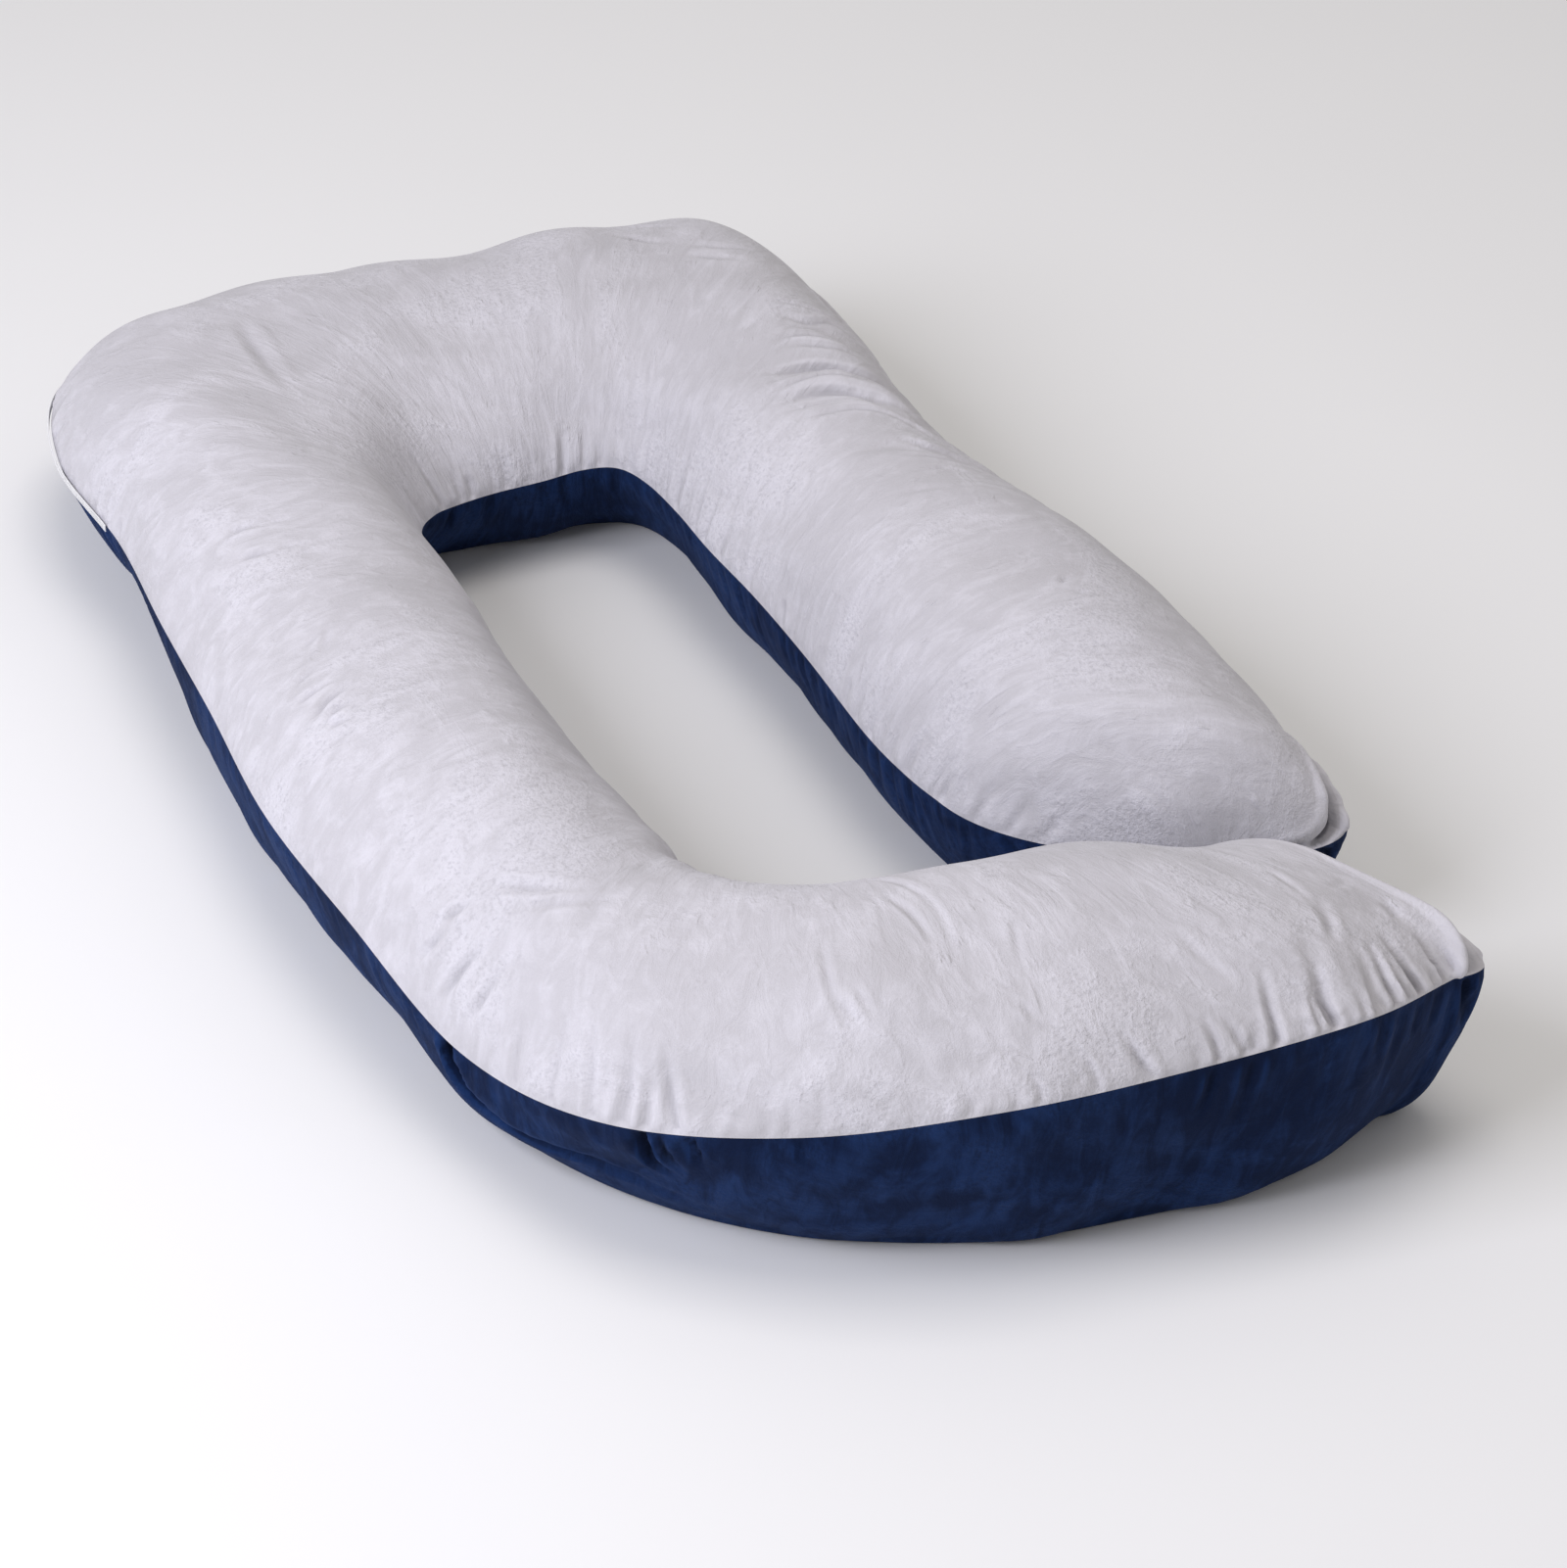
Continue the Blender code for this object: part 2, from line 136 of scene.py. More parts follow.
# Finer creases that the filled cloth shows, in the same way
CREASES = (
    ("hook end, groove", "top_panel", 0.0060, 0.0150,
        ((-0.15, -1.0), (-0.30, -0.86), (-0.46, -0.60), (-0.52, -0.38), (-0.48, -0.14), (-0.42, 0.2),
            (-0.3, 0.6))),
    ("hook end, groove below", "bottom_panel", 0.0060, 0.0090,
        ((-0.15, -1.0), (-0.20, -0.94), (-0.26, -0.88), (-0.30, -0.80))),
    ("hook end, strip", "top_panel", 0.0095, 0.0095,
        ((-0.32, -1.0), (-0.46, -0.85), (-0.60, -0.60), (-0.65, -0.36), (-0.61, -0.05), (-0.52, 0.4))),
    ("far arm end, strip", "top_panel", 0.0085, 0.0078,
        ((26.93, -1.0), (26.79, -0.91), (26.58, -0.80), (26.32, -0.72))),
    ("far arm end, groove", "top_panel", 0.0060, 0.0130,
        ((26.84, -1.0), (26.69, -0.89), (26.45, -0.74), (26.17, -0.67), (25.8, -0.66))),
    ("far arm end, groove below", "bottom_panel", 0.0060, 0.0090,
        ((26.84, -1.0), (26.78, -0.92), (26.70, -0.84))),
    ("hook, pucker", "top_panel", 0.0040, 0.0038, ((0.00, -1.0), (0.00, -0.88), (-0.01, -0.72))),
    ("hook, pucker", "top_panel", 0.0042, 0.0055, ((0.14, -1.0), (0.12, -0.82), (0.05, -0.62))),
    ("hook, pucker", "top_panel", 0.0036, 0.0030, ((0.27, -1.0), (0.26, -0.90), (0.21, -0.80))),
    ("hook, pucker", "top_panel", 0.0042, 0.0058, ((0.44, -1.0), (0.42, -0.78), (0.35, -0.53))),
    ("hook, pucker", "top_panel", 0.0040, 0.0042, ((0.59, -1.0), (0.58, -0.84), (0.50, -0.64))),
    ("hook, pucker", "top_panel", 0.0045, 0.0062, ((0.75, -1.0), (0.69, -0.78), (0.56, -0.55))),
    ("hook, pucker", "top_panel", 0.0038, 0.0038, ((0.92, -1.0), (0.88, -0.86), (0.78, -0.70))),
    ("hook, pucker", "top_panel", 0.0036, 0.0030, ((1.03, -1.0), (1.00, -0.88), (0.97, -0.78))),
    ("hook, pucker", "top_panel", 0.0043, 0.0060, ((1.20, -1.0), (1.20, -0.82), (1.09, -0.58))),
    ("hook, pucker", "top_panel", 0.0036, 0.0036, ((1.32, -1.0), (1.28, -0.82), (1.21, -0.68))),
    ("hook, pucker", "top_panel", 0.0042, 0.0052, ((1.56, -1.0), (1.52, -0.78), (1.42, -0.55))),
    ("hook, pucker", "top_panel", 0.0034, 0.0034, ((1.74, -1.0), (1.75, -0.86), (1.77, -0.76))),
    ("hook, pucker", "top_panel", 0.0037, 0.0040, ((1.88, -1.0), (1.87, -0.86), (1.87, -0.72))),
    ("hook, pucker", "top_panel", 0.0040, 0.0030, ((2.22, -1.0), (2.28, -0.86), (2.33, -0.70))),
    ("hook, pucker", "top_panel", 0.0040, 0.0028, ((2.52, -1.0), (2.54, -0.86), (2.60, -0.74))),
    ("hook, pucker", "top_panel", 0.0038, 0.0026, ((2.83, -1.0), (2.82, -0.90), (2.86, -0.80))),
    ("hook, crease above", "top_panel", 0.0055, 0.0030, ((0.06, -0.52), (0.0, -0.42), (-0.10, -0.32))),
    ("hook, crease above", "top_panel", 0.0055, 0.0034, ((0.84, -0.50), (0.64, -0.36), (0.46, -0.22))),
    ("hook, long crease", "top_panel", 0.0040, 0.0018, ((0.45, 0.00), (0.52, -0.15), (0.66, -0.35))),
    ("hook, long crease", "top_panel", 0.0040, 0.0018, ((1.70, -0.30), (1.66, -0.45), (1.60, -0.60))),
    ("hook, mark by the top", "top_panel", 0.0040, 0.0018, ((0.20, -0.18), (0.10, -0.20), (-0.02, -0.18))),
    ("hook, short crease", "top_panel", 0.0036, 0.0022, ((2.77, -0.48), (2.74, -0.52), (2.72, -0.57))),
    ("hook, short crease", "top_panel", 0.0036, 0.0022, ((2.53, -0.10), (2.58, -0.19), (2.63, -0.29))),
    ("hook, long line", "top_panel", 0.0036, 0.0026,
        ((3.59, 0.38), (3.10, 0.29), (2.91, 0.05), (2.96, -0.19))),
    ("hook, second line", "top_panel", 0.0036, 0.0024, ((3.20, 0.14), (3.08, -0.02), (3.08, -0.14))),
    ("hook, line in the middle", "top_panel", 0.0038, 0.0026, ((3.79, -0.10), (3.78, -0.33), (3.69, -0.57))),
    ("hook, mark in the middle", "top_panel", 0.0045, 0.0028, ((3.74, -0.38), (3.69, -0.45), (3.64, -0.52))),
    ("hook, mark in the middle", "top_panel", 0.0036, 0.0020, ((3.64, -0.30), (3.60, -0.40), (3.56, -0.48))),
    ("near bend, fold", "top_panel", 0.0048, 0.0040, ((6.42, -0.67), (6.32, -0.54), (6.26, -0.43))),
    ("near bend, fold", "top_panel", 0.0050, 0.0045, ((6.21, -0.90), (6.13, -0.71), (5.99, -0.52))),
    ("near bend, fold", "top_panel", 0.0045, 0.0035, ((6.44, -0.83), (6.35, -0.68), (6.28, -0.55))),
    ("near bend, fold", "top_panel", 0.0048, 0.0040, ((6.00, -0.87), (5.92, -0.72), (5.84, -0.55))),
    ("near bend, edge", "top_panel", 0.0060, 0.0035, ((6.25, -0.36), (5.95, -0.24), (5.60, -0.08))),
    ("near bend, edge", "top_panel", 0.0050, 0.0030, ((5.92, -0.34), (5.67, -0.19), (5.36, -0.04))),
    ("foot corner, faint fold", "top_panel", 0.0060, 0.0034, ((4.89, -1.0), (4.88, -0.80), (4.89, -0.55))),
    ("foot corner, faint fold", "top_panel", 0.0055, 0.0030, ((5.08, -0.97), (5.12, -0.75), (5.19, -0.55))),
    ("foot corner, faint fold", "top_panel", 0.0060, 0.0030, ((5.34, -1.0), (5.34, -0.80), (5.34, -0.60))),
    ("foot corner, faint fold", "top_panel", 0.0050, 0.0034, ((4.59, -1.0), (4.66, -0.80), (4.69, -0.58))),
    ("foot corner, faint fold", "top_panel", 0.0050, 0.0030, ((4.77, -1.0), (4.77, -0.90), (4.76, -0.78))),
    ("foot corner, faint fold", "top_panel", 0.0060, 0.0026, ((5.60, -0.96), (5.62, -0.80), (5.66, -0.62))),
    ("near arm, stroke", "top_panel", 0.0045, 0.0041, ((9.98, -0.36), (9.98, -0.27), (9.96, -0.18))),
    ("near arm, stroke", "top_panel", 0.0038, 0.0025, ((9.96, -0.16), (9.95, -0.10), (9.93, -0.04))),
    ("near arm, stroke", "top_panel", 0.0042, 0.0043, ((9.70, -0.39), (9.66, -0.28), (9.64, -0.18))),
    ("near arm, stroke", "top_panel", 0.0036, 0.0026, ((9.64, -0.18), (9.63, -0.12), (9.62, -0.06))),
    ("near arm, stroke", "top_panel", 0.0036, 0.0030, ((9.41, -0.35), (9.44, -0.30), (9.47, -0.25))),
    ("near arm, stroke", "top_panel", 0.0034, 0.0026, ((9.20, -0.45), (9.19, -0.40), (9.21, -0.34))),
    ("near arm, stroke", "top_panel", 0.0034, 0.0025, ((9.11, -0.44), (9.11, -0.40), (9.13, -0.36))),
    ("near arm, stroke", "top_panel", 0.0040, 0.0036, ((8.37, -0.46), (8.40, -0.39), (8.42, -0.31))),
    ("near arm, stroke", "top_panel", 0.0042, 0.0041, ((8.23, -0.50), (8.23, -0.40), (8.24, -0.30))),
    ("near arm, stroke", "top_panel", 0.0056, 0.0051, ((8.06, -0.48), (8.10, -0.36), (8.13, -0.23))),
    ("near arm, stroke", "top_panel", 0.0050, 0.0041, ((8.00, -0.42), (8.00, -0.34), (8.02, -0.24))),
    ("near arm, stroke", "top_panel", 0.0045, 0.0034, ((7.93, -0.44), (7.90, -0.38), (7.87, -0.30))),
    ("near arm, stroke", "top_panel", 0.0040, 0.0028, ((8.60, -0.33), (8.64, -0.27), (8.68, -0.22))),
    ("near arm, stroke", "top_panel", 0.0038, 0.0025, ((8.52, -0.26), (8.58, -0.21), (8.66, -0.18))),
    ("head, ridge", "top_panel", 0.0055, 0.0035, ((17.05, -0.40), (17.47, -0.33), (17.90, -0.28))),
    ("head, ridge", "top_panel", 0.0055, 0.0032, ((17.20, -0.20), (17.61, -0.14), (17.95, -0.14))),
    ("head, ridge", "top_panel", 0.0050, 0.0030, ((18.20, -0.05), (18.63, -0.10), (19.02, -0.19))),
    ("head, ridge", "top_panel", 0.0050, 0.0032, ((18.20, -0.13), (18.63, -0.19), (18.95, -0.31))),
    ("head, small fold", "top_panel", 0.0080, 0.0030, ((13.72, -0.14), (13.2, 0.05), (12.66, 0.24))),
    ("waist, ridge", "top_panel", 0.0042, 0.0032,
        ((19.70, -0.08), (19.96, -0.24), (20.18, -0.40), (20.22, -0.58))),
    ("waist, ridge", "top_panel", 0.0042, 0.0034,
        ((19.92, -0.08), (20.16, -0.20), (20.30, -0.38), (20.46, -0.50))),
    ("waist, ridge", "top_panel", 0.0044, 0.0040,
        ((20.12, 0.02), (20.35, -0.14), (20.55, -0.27), (20.75, -0.42))),
    ("waist, ridge", "top_panel", 0.0042, 0.0036,
        ((20.27, 0.00), (20.52, -0.14), (20.70, -0.29), (20.86, -0.46))),
    ("waist, ridge", "top_panel", 0.0050, 0.0055,
        ((20.40, 0.14), (20.60, 0.00), (20.78, -0.16), (21.00, -0.36), (21.16, -0.60))),
    ("waist, ridge", "top_panel", 0.0045, 0.0044,
        ((20.50, 0.17), (20.70, 0.00), (20.90, -0.16), (21.18, -0.36), (21.40, -0.56))),
    ("waist, ridge", "top_panel", 0.0045, 0.0046,
        ((20.65, 0.17), (20.80, 0.00), (21.02, -0.16), (21.30, -0.36), (21.60, -0.60))),
    ("waist, ridge", "top_panel", 0.0050, 0.0052,
        ((20.84, 0.18), (21.01, 0.00), (21.20, -0.14), (21.48, -0.32), (21.75, -0.52))),
    ("waist, ridge", "top_panel", 0.0042, 0.0044,
        ((20.98, 0.20), (21.18, 0.02), (21.42, -0.14), (21.70, -0.30), (21.98, -0.46))),
    ("waist, ridge", "top_panel", 0.0040, 0.0036,
        ((21.20, 0.18), (21.45, -0.02), (21.70, -0.18), (21.95, -0.30), (22.14, -0.42))),
    ("waist, ridge", "top_panel", 0.0038, 0.0030, ((22.10, -0.10), (22.28, -0.26), (22.40, -0.46))),
    ("waist, ridge", "top_panel", 0.0038, 0.0028, ((22.36, -0.04), (22.50, -0.20), (22.60, -0.40))),
    ("waist, ridge", "top_panel", 0.0038, 0.0026, ((22.60, 0.02), (22.66, -0.16), (22.80, -0.32))),
    ("waist, ridge", "top_panel", 0.0050, 0.0022, ((22.83, 0.14), (22.87, 0.05), (22.96, -0.05))),
    ("waist, edge crease", "top_panel", 0.0050, 0.0060, ((19.50, -0.52), (19.82, -0.57), (20.20, -0.56))),
    ("far arm, mark", "top_panel", 0.0038, 0.0034, ((24.28, -0.04), (24.22, -0.07), (24.18, -0.10))),
    ("far arm, mark", "top_panel", 0.0038, 0.0028, ((24.42, -0.05), (24.42, -0.08), (24.40, -0.11))),
    ("foot corner, crease", "bottom_panel", 0.0055, 0.0090,
        ((6.13, -1.0), (6.10, -0.88), (6.00, -0.81), (5.73, -0.76), (5.28, -0.71), (4.71, -0.62))),
    ("foot corner, navy fold", "bottom_panel", 0.0045, 0.0065,
        ((4.79, -1.0), (4.78, -0.90), (4.74, -0.81), (4.64, -0.76))),
    ("foot corner, navy fold", "bottom_panel", 0.0045, 0.0060, ((4.70, -1.0), (4.67, -0.90), (4.61, -0.80))),
    ("foot corner, navy fold", "bottom_panel", 0.0040, 0.0055, ((4.54, -1.0), (4.51, -0.93), (4.49, -0.86))),
    ("hook, navy fold", "bottom_panel", 0.0040, 0.0040, ((3.99, -1.0), (3.98, -0.95), (3.94, -0.90))),
    ("hook, navy fold", "bottom_panel", 0.0045, 0.0040, ((1.90, -1.0), (1.92, -0.92), (1.96, -0.84))),
)

# Gathers along the seams, each a row of small puckers
# panel, side of the tube, from and to in stations, spacing, reach across, depth
GATHERS = (
    ("top_panel", -1, -0.60, 1.70, 0.020, 0.20, 0.0026),
    ("top_panel", -1, 1.70, 3.30, 0.034, 0.22, 0.0020),
    ("top_panel", -1, 3.30, 6.50, 0.026, 0.30, 0.0014),
    ("top_panel", -1, 6.50, 11.0, 0.045, 0.16, 0.0012),
    ("top_panel", -1, 11.0, 14.5, 0.022, 0.26, 0.0026),
    ("top_panel", -1, 14.5, 17.0, 0.034, 0.20, 0.0016),
    ("top_panel", -1, 17.0, 19.5, 0.024, 0.26, 0.0022),
    ("top_panel", -1, 19.5, 23.0, 0.020, 0.34, 0.0024),
    ("top_panel", -1, 23.0, 25.2, 0.036, 0.20, 0.0016),
    ("top_panel", -1, 25.2, 26.8, 0.016, 0.30, 0.0034),
    ("top_panel", 1, -0.60, 3.00, 0.024, 0.26, 0.0024),
    ("top_panel", 1, 3.00, 7.00, 0.018, 0.30, 0.0030),
    ("top_panel", 1, 7.00, 11.0, 0.040, 0.20, 0.0018),
    ("top_panel", 1, 11.0, 14.5, 0.017, 0.32, 0.0028),
    ("top_panel", 1, 14.5, 20.0, 0.023, 0.24, 0.0024),
    ("top_panel", 1, 20.0, 25.0, 0.030, 0.26, 0.0022),
    ("top_panel", 1, 25.0, 26.8, 0.018, 0.28, 0.0030),
    ("bottom_panel", -1, -0.60, 1.70, 0.022, 0.26, 0.0024),
    ("bottom_panel", -1, 1.70, 4.20, 0.036, 0.18, 0.0014),
    ("bottom_panel", -1, 4.20, 7.00, 0.028, 0.20, 0.0018),
    ("bottom_panel", -1, 7.00, 11.0, 0.040, 0.18, 0.0014),
    ("bottom_panel", -1, 11.0, 14.5, 0.024, 0.26, 0.0026),
    ("bottom_panel", -1, 14.5, 19.5, 0.028, 0.22, 0.0020),
    ("bottom_panel", -1, 19.5, 25.2, 0.026, 0.24, 0.0020),
    ("bottom_panel", -1, 25.2, 26.8, 0.018, 0.28, 0.0030),
    ("bottom_panel", 1, -0.60, 26.6, 0.024, 0.30, 0.0028),
)

# The puckers' narrowest and widest, the least and greatest share of their row's reach, depth and
# spacing that one can have, how much they lean, and the length that each rounded end adds to a seam
PUCKER_WIDTHS = (0.0040, 0.0075)
REACH_SHARES = (0.35, 1.2)
DEPTH_SHARES = (0.4, 1.2)
SPACING_SHARES = (0.5, 1.6)
PUCKER_LEAN = 0.10
END_LENGTH = 0.12

# Every uneven thing is drawn from this seed, so that each run gives the same pillow
SEED = 11

# The low ridge beside each fold: its share of the fold's depth, and how many widths away it runs
RIDGE_SHARE = 0.35
RIDGE_AWAY = 1.9

# A fold that starts or ends beyond this place is caught in the seam, and any other fades over this
# share of its way
IN_SEAM = 0.9
FADE_IN = 0.35
FADE_OUT = 0.6
FADE_CURVE = 0.7

# The filling's soft unevenness: length and height of its waves, and how many there are of each
LUMPS = ((0.34, 0.0014), (0.21, 0.0012), (0.13, 0.0009), (0.08, 0.0005))
WAVES_EACH = 3

# The crease depth that the painted crease shading is measured by: hollows are painted darker as painted
# shade, and the ridges beside them lighter as painted highlight
CREASE_SHADE_DEPTH = 0.005

# Below the first height the underside takes its flat shape more and more, and below the second the
# filling can't move it
LYING_HEIGHT = 0.012
HELD_HEIGHT = 0.002

# Spare cloth along the seams, as a share of its length, which buckles as the pillow is filled,
# how far it reaches towards the crown, and how much of it the inner seam has
SPARE_CLOTH = 0.10
SPARE_REACH = 0.60
INNER_SPARE = 0.5

# The filling's push and how long it lasts, the steps of the points' weights, how much of the swelling
# and of the buckling stays, and how many cuts to each side the swelling is evened over
PRESSURE = 4.0
FRAMES = 20
WEIGHT_STEPS = 20
SWELLING_KEPT = 0.10
MOST_MOVE = 0.012
EVENED_OVER = 12

# The zip in the outer seam, between two stations: its parts' sizes, rounded edges and distances out
# of the seam, and the tape that is left bare at each end of the teeth
ZIP_START = 11.2
ZIP_END = 14.2
ZIP_HEIGHT = 0.008
ZIP_STEPS = 60
TAPE_OUT = 0.0012
TAPE_THICKNESS = 0.0009
TOOTH_OUT = 0.0022
TOOTH_SIZE = (0.0013, 0.0014, 0.0042)
TOOTH_EDGE = 0.0003
TOOTH_PITCH = 0.0021
BARE_TAPE = 0.004
SLIDER_OUT = 0.0032
SLIDER_SIZE = (0.009, 0.0034, 0.0074)
SLIDER_EDGE = 0.0010
PULLER_OUT = 0.0020
PULLER_DROP = 0.0075
PULLER_SIZE = (0.0040, 0.0012, 0.0150)
PULLER_EDGE = 0.0005


def spline(values, positions):
    """A smooth curve through the rows of values (Catmull-Rom), at the given row positions."""
    values = np.asarray(values, dtype=float)
    before_first = 2 * values[0] - values[1]
    after_last = 2 * values[-1] - values[-2]
    padded = np.vstack([before_first, values, after_last])
    start = np.clip(np.floor(positions).astype(int), 0, len(values) - 2)
    t = (positions - start)[:, None]
    before, here, after, beyond = (padded[start + k] for k in range(4))
    return 0.5 * (
        2 * here
        + (after - before) * t
        + (2 * before - 5 * here + 4 * after - beyond) * t**2
        + (3 * here - before - 3 * after + beyond) * t**3
    )


def lengths_along(points):
    steps = np.linalg.norm(np.diff(points, axis=0), axis=1)
    return np.concatenate([[0], np.cumsum(steps)])


def station_rows():
    """The stations' numbers, with the plan moved so that the footprint's middle is at the origin."""
    rows = np.array([row[1:] for row in STATIONS])
    rows[:, 0:4] -= PLAN_MIDDLE * 2
    return rows


def tube_cuts():
    """Where the tube is cut: station number, and how far into an end, for each cut."""
    rows = station_rows()
    fine = np.linspace(0, LAST, FINE_STEPS)
    length = lengths_along(spline(rows[:, 0:4], fine))
    along = np.interp(np.linspace(0, length[-1], CUTS), length, fine)
    turn = np.linspace(0, math.pi / 2, CHORDS + 2)[1:-1]
    ends = np.append(np.sin(turn) ** (2 / CAP_SQUARENESS), END_TIP)
    station = np.concatenate([np.zeros(len(ends)), along, np.full(len(ends), LAST)])
    beyond = np.concatenate([-ends[::-1], np.zeros(CUTS), ends])
    return station, beyond


def tube_form(upper):
    """The panel's form as a grid of points, cut by cut, each from the outer seam over to the inner seam."""
    station, beyond = tube_cuts()
    cut = spline(station_rows(), station)[:, None, :]
    reach = np.where((beyond < 0)[:, None, None], HOOK_REACH, FAR_REACH)
    into_end = np.abs(beyond)[:, None]
    outer, inner = cut[..., 0:2], cut[..., 2:4]
    middle = (outer + inner) / 2
    fullness = UPPER_FULLNESS if upper else cut[..., 7]
    row = np.arange(-ROWS, ROWS + 1)[None, :]
    chord = (1 - into_end**CAP_SQUARENESS) ** (1 / CAP_SQUARENESS)
    angle = SEAM_ANGLE + (math.pi / 2 - SEAM_ANGLE) * (1 - np.abs(row) / ROWS)
    across = (np.maximum(np.cos(angle), 0) / math.cos(SEAM_ANGLE)) ** fullness * chord
    out = (across**CAP_SQUARENESS + into_end**CAP_SQUARENESS) ** (1 / CAP_SQUARENESS)
    out[[0, -1], :] = 1
    cosine = np.sign(-row) * (across / np.maximum(out, 1e-9)) ** (CAP_SQUARENESS / 2)
    plan = middle + np.where((row <= 0)[..., None], outer - middle, inner - middle) * across[..., None]
    plan = plan + into_end[..., None] * reach
    seam_height = cut[..., 4] + (cut[..., 5] - cut[..., 4]) * (1 - cosine) / 2
    lean = np.arccos(np.clip(math.cos(SEAM_ANGLE) * np.minimum(out, 1) ** (1 / fullness), 0, 1))
    upwards = (np.sin(lean) - math.sin(SEAM_ANGLE)) / (1 - math.sin(SEAM_ANGLE))
    from_seam = (lean - SEAM_ANGLE) / (math.pi / 2 - SEAM_ANGLE)
    if upper:
        height = seam_height + (cut[..., 6] - seam_height) * upwards + GAP / 2
    else:
        height = np.maximum(seam_height - (seam_height + SINK) * upwards, GAP / 2) - GAP / 2
    points = np.concatenate([plan, height[..., None]], axis=-1)
    axis = np.concatenate([np.broadcast_to(middle, plan.shape), seam_height[..., None]], axis=-1)
    inwards = axis - points
    inwards /= np.maximum(np.linalg.norm(inwards, axis=-1, keepdims=True), 1e-6)
    return points, inwards, from_seam


def outwards(points, upper):
    """The direction out of the cloth at each point of the grid."""
    along, across = np.gradient(points, axis=0), np.gradient(points, axis=1)
    facing = np.cross(across, along) if upper else np.cross(along, across)
    return facing / np.maximum(np.linalg.norm(facing, axis=-1, keepdims=True), 1e-12)


def on_grid(grid, cut, row):
    """The grid's points at cuts and rows that may lie between its own."""
    cut = np.clip(cut, 0, grid.shape[0] - 1.001)
    row = np.clip(row, 0, grid.shape[1] - 1.001)
    i, j = cut.astype(int), row.astype(int)
    a, b = (cut - i)[:, None], (row - j)[:, None]
    low = grid[i, j] * (1 - a) + grid[i + 1, j] * a
    high = grid[i, j + 1] * (1 - a) + grid[i + 1, j + 1] * a
    return low * (1 - b) + high * b


def fold_depths(grid, from_seam, folds):
    """How far in each point of the grid lies for the folds: troughs, each with a low ridge beside it."""
    station, beyond = tube_cuts()
    places = station + beyond
    numbers = np.linspace(0, grid.shape[0] - 1, len(places))
    depths = np.zeros(grid.shape[:2])
    for width, deepest, way in folds:
        way = np.array(way)
        count = max(8, 6 * len(way))
        line = spline(way, np.linspace(0, len(way) - 1, count))
        cut = np.interp(line[:, 0], places, numbers)
        row = (line[:, 1] + 1) / 2 * (grid.shape[1] - 1)
        route = on_grid(grid, cut, row)
        margin = 4 * width
        low, high = route.min(axis=0) - margin, route.max(axis=0) + margin
        near = np.nonzero(((grid > low) & (grid < high)).all(axis=-1))
        points = grid[near][:, None, :]
        start, run = route[:-1], np.diff(route, axis=0)
        share = ((points - start) * run).sum(axis=-1) / np.maximum((run * run).sum(axis=-1), 1e-12)
        share = np.clip(share, 0, 1)
        away = np.linalg.norm(points - start - share[..., None] * run, axis=-1)
        nearest = away.argmin(axis=1)
        each = np.arange(len(nearest))
        away = away[each, nearest]
        travelled = (nearest + share[each, nearest]) / len(run)
        fade_in = 1 if abs(way[0, 1]) > IN_SEAM else np.clip(travelled / FADE_IN, 0, 1) ** FADE_CURVE
        fade_out = 1 if abs(way[-1, 1]) > IN_SEAM else np.clip((1 - travelled) / FADE_OUT, 0, 1) ** FADE_CURVE
        ridge = np.exp(-(((away - RIDGE_AWAY * width) / width) ** 2))
        trough = np.exp(-((away / width) ** 2)) - RIDGE_SHARE * ridge
        depths[near] += deepest * fade_in * fade_out * trough
    return depths * np.clip(from_seam * ROWS * 1.5, 0, 1)


def gather_puckers(panel):
    """The small puckers of the panel's gathers, spaced and sized unevenly but the same on every run."""
    chance = np.random.default_rng(SEED + len(panel))
    fine = np.linspace(0, LAST, FINE_STEPS // 2)
    cut = spline(station_rows(), fine)
    stations = np.concatenate([[-1], fine, [LAST + 1]])
    puckers = []
    for name, side, first, last, spacing, reach, depth in GATHERS:
        if name != panel:
            continue
        length = lengths_along(cut[:, 0:2] if side < 0 else cut[:, 2:4])
        length = np.concatenate([[-END_LENGTH], length, [length[-1] + END_LENGTH]])
        at, end = np.interp([first, last], stations, length)
        while at < end:
            place = np.interp(at, length, stations)
            tall = reach * chance.uniform(*REACH_SHARES)
            lean = chance.normal(0, PUCKER_LEAN) * tall * 2
            way = (
                (place, side),
                (place + lean * 0.4, side * (1 - tall / 2)),
                (place + lean, side * (1 - tall)),
            )
            puckers.append((chance.uniform(*PUCKER_WIDTHS), depth * chance.uniform(*DEPTH_SHARES), way))
            at += spacing * chance.uniform(*SPACING_SHARES)
    return puckers


def lumps(points):
    """The filling's soft unevenness: a few long waves over the whole pillow."""
    chance = np.random.default_rng(SEED)
    total = np.zeros(points.shape[:-1])
    for wavelength, height in LUMPS:
        for _ in range(WAVES_EACH):
            direction = chance.normal(size=3)
            direction *= 2 * math.pi / wavelength / np.linalg.norm(direction)
            total += height * np.sin(points @ direction + chance.uniform(0, 6.28))
    return total


def only(obj):
    """Makes obj the one selected and active object."""
    bpy.ops.object.select_all(action="DESELECT")
    obj.select_set(True)
    bpy.context.view_layer.objects.active = obj


def add_mesh(name, points, faces):
    mesh = bpy.data.meshes.new(name)
    mesh.from_pydata(points.tolist(), [], faces)
    obj = bpy.data.objects.new(name, mesh)
    bpy.context.scene.collection.objects.link(obj)
    return obj


def grid_quads(cuts, rows, upper):
    number = np.arange(cuts * rows).reshape(cuts, rows)
    quads = np.stack([number[:-1, :-1], number[1:, :-1], number[1:, 1:], number[:-1, 1:]], axis=-1)
    quads = quads.reshape(-1, 4)
    return (quads[:, ::-1] if upper else quads).tolist()


